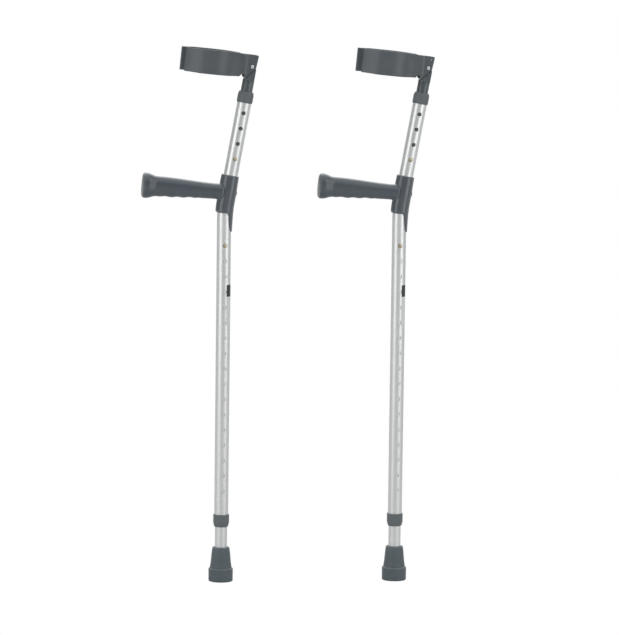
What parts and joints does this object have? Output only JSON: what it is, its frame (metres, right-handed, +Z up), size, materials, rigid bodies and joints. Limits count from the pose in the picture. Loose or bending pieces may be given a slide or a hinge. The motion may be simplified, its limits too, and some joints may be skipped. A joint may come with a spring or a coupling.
{
  "type": "forearm crutches",
  "caption": "Forearm crutches with hinged open arm cuffs, moulded hand grips, bent aluminium tubes and telescoping legs on rubber ferrules.",
  "frame": {"origin": "middle of the left crutch's foot, where it meets the ground", "axes": "+Z up the leg; handles and cuff openings point towards -X; the adjusting holes face -Y; the right crutch stands towards +X"},
  "size_m": [0.4737, 0.1198, 0.8691],
  "materials": {
    "satin_aluminium": "satin silver anodised, drawn along the tube",
    "grey_plastic": "slate grey moulded plastic, fine satin",
    "soft_grip": "slate grey soft vinyl, slightly glossy",
    "foot_rubber": "slate grey moulded rubber, matt",
    "brass": "polished brass",
    "steel": "bright zinc-plated steel",
    "spring_steel": "plain spring steel",
    "label_film": "blank pale film with a dark bar, no text"
  },
  "bodies": {
    "left_crutch": {"left_main_tube": "satin_aluminium", "left_care_label": "label_film", "left_lower_collar": "grey_plastic", "left_handle_core": "grey_plastic", "left_handle_rivet": "steel", "left_hand_grip": "soft_grip", "left_upper_collar": "grey_plastic"},
    "left_leg": {"left_leg_tube": "satin_aluminium", "left_leg_clip": "spring_steel", "left_ferrule": "foot_rubber", "left_ferrule_washer": "steel"},
    "left_leg_snap": {"left_leg_button": "brass"},
    "left_stem": {"left_cuff_stem": "grey_plastic", "left_stem_clip": "spring_steel"},
    "left_stem_snap": {"left_stem_button": "brass"},
    "left_cuff": {"left_arm_cuff": "grey_plastic", "left_cuff_rivet": "steel", "left_cuff_washer": "steel"},
    "right_crutch": {"right_main_tube": "satin_aluminium", "right_care_label": "label_film", "right_lower_collar": "grey_plastic", "right_handle_core": "grey_plastic", "right_handle_rivet": "steel", "right_hand_grip": "soft_grip", "right_upper_collar": "grey_plastic"},
    "right_leg": {"right_leg_tube": "satin_aluminium", "right_leg_clip": "spring_steel", "right_ferrule": "foot_rubber", "right_ferrule_washer": "steel"},
    "right_leg_snap": {"right_leg_button": "brass"},
    "right_stem": {"right_cuff_stem": "grey_plastic", "right_stem_clip": "spring_steel"},
    "right_stem_snap": {"right_stem_button": "brass"},
    "right_cuff": {"right_arm_cuff": "grey_plastic", "right_cuff_rivet": "steel", "right_cuff_washer": "steel"}
  },
  "joints": [
    {"name": "left_leg_slide", "type": "slide", "parent": "left_crutch", "child": "left_leg", "axis": [0, 0, -1], "range_m": [0, 0.4], "deforming": ["left_leg_clip", "left_leg_button"]},
    {"name": "left_leg_press", "type": "slide", "parent": "left_leg", "child": "left_leg_snap", "axis": [0, 1, 0], "range_m": [0, 0.0036], "stiffness_N_per_m": 1500, "springref_m": -0.002, "deforming": ["left_leg_clip"]},
    {"name": "left_stem_slide", "type": "slide", "parent": "left_crutch", "child": "left_stem", "axis": [0.1771, 0, 0.9842], "range_m": [0, 0.075], "deforming": ["left_stem_clip", "left_stem_button"]},
    {"name": "left_stem_press", "type": "slide", "parent": "left_stem", "child": "left_stem_snap", "axis": [0, 1, 0], "range_m": [0, 0.0036], "stiffness_N_per_m": 1500, "springref_m": -0.002, "deforming": ["left_stem_clip"]},
    {"name": "left_cuff_tilt", "type": "hinge", "parent": "left_stem", "child": "left_cuff", "pos_m": [0.04161, 0, 0.83689], "axis": [0, 1, 0], "range_deg": [0, 25]},
    {"name": "right_leg_slide", "type": "slide", "parent": "right_crutch", "child": "right_leg", "axis": [0, 0, -1], "range_m": [0, 0.4], "deforming": ["right_leg_clip", "right_leg_button"]},
    {"name": "right_leg_press", "type": "slide", "parent": "right_leg", "child": "right_leg_snap", "axis": [0, 1, 0], "range_m": [0, 0.0036], "stiffness_N_per_m": 1500, "springref_m": -0.002, "deforming": ["right_leg_clip"]},
    {"name": "right_stem_slide", "type": "slide", "parent": "right_crutch", "child": "right_stem", "axis": [0.1771, 0, 0.9842], "range_m": [0, 0.075], "deforming": ["right_stem_clip", "right_stem_button"]},
    {"name": "right_stem_press", "type": "slide", "parent": "right_stem", "child": "right_stem_snap", "axis": [0, 1, 0], "range_m": [0, 0.0036], "stiffness_N_per_m": 1500, "springref_m": -0.002, "deforming": ["right_stem_clip"]},
    {"name": "right_cuff_tilt", "type": "hinge", "parent": "right_stem", "child": "right_cuff", "pos_m": [0.32561, -0.022, 0.83689], "axis": [0, 1, 0], "range_deg": [0, 25]},
    {"name": "pair_spacing", "type": "slide", "parent": "left_crutch", "child": "right_crutch", "axis": [1, 0, 0], "range_m": [0, 0.3]}
  ]
}
